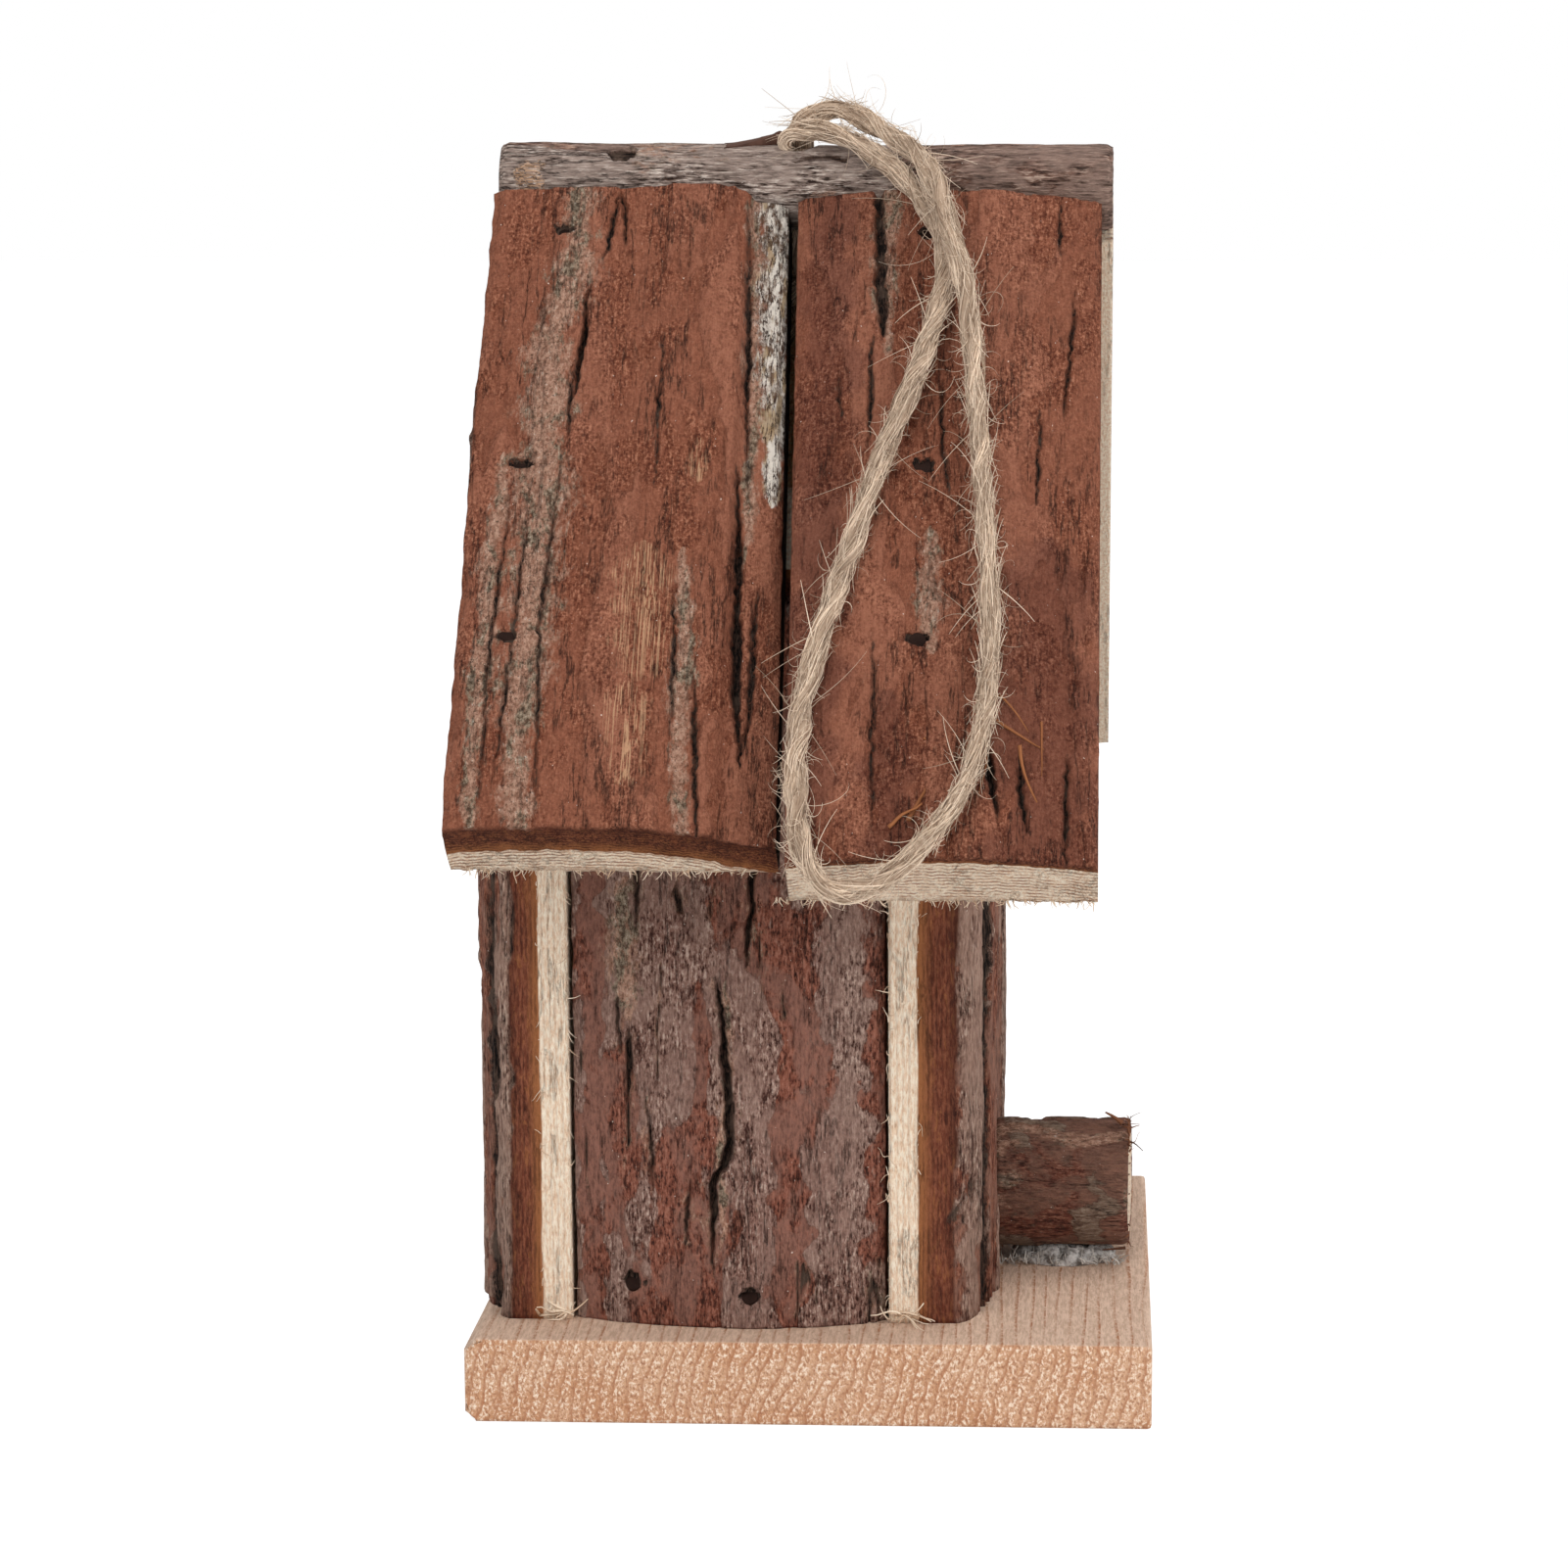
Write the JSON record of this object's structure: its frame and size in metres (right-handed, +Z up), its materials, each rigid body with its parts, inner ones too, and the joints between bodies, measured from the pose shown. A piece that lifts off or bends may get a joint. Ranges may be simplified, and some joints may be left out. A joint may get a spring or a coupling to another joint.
{
  "type": "hanging birdhouse",
  "caption": "Rustic hanging birdhouse of bark-covered log slabs on a planed board, with a steep roof, ridge pole, perch log, round entrance and a twine loop.",
  "frame": {"origin": "middle of the base board's underside", "axes": "+Z up, +X out of the entrance at the front, +Y to the right side of the house seen from behind it"},
  "size_m": [0.093, 0.1557, 0.177],
  "materials": {
    "bark_slab": "matt, rough scaly bark over pale sawn wood",
    "planed_board": "matt, planed",
    "barked_stick": "matt, smooth thin bark",
    "jute_twine": "fibrous two-ply twist",
    "brad_steel": "dull",
    "glue_bead": "cloudy"
  },
  "bodies": {
    "house": {"base_board": "planed_board", "front_left_slab": "bark_slab", "front_right_slab": "bark_slab", "back_left_slab": "bark_slab", "back_right_slab": "bark_slab", "left_wall_slab": "bark_slab", "right_wall_slab": "bark_slab", "left_roof_back_slab": "bark_slab", "left_roof_front_slab": "bark_slab", "right_roof_back_slab": "bark_slab", "right_roof_front_slab": "bark_slab", "ridge_pole": "barked_stick", "perch_log": "barked_stick", "perch_glue": "glue_bead", "hanger_tail": "jute_twine", "roof_brads": "brad_steel", "toe_brads": "brad_steel", "base_brads": "brad_steel", "ridge_brads": "brad_steel"},
    "hanger": {"hanger_loop": "jute_twine"}
  },
  "joints": [
    {"name": "hanger_swing", "type": "hinge", "parent": "house", "child": "hanger", "pos_m": [0, -0.00144, 0.176], "axis": [-1, 0, 0], "range_deg": [0, 141]}
  ]
}
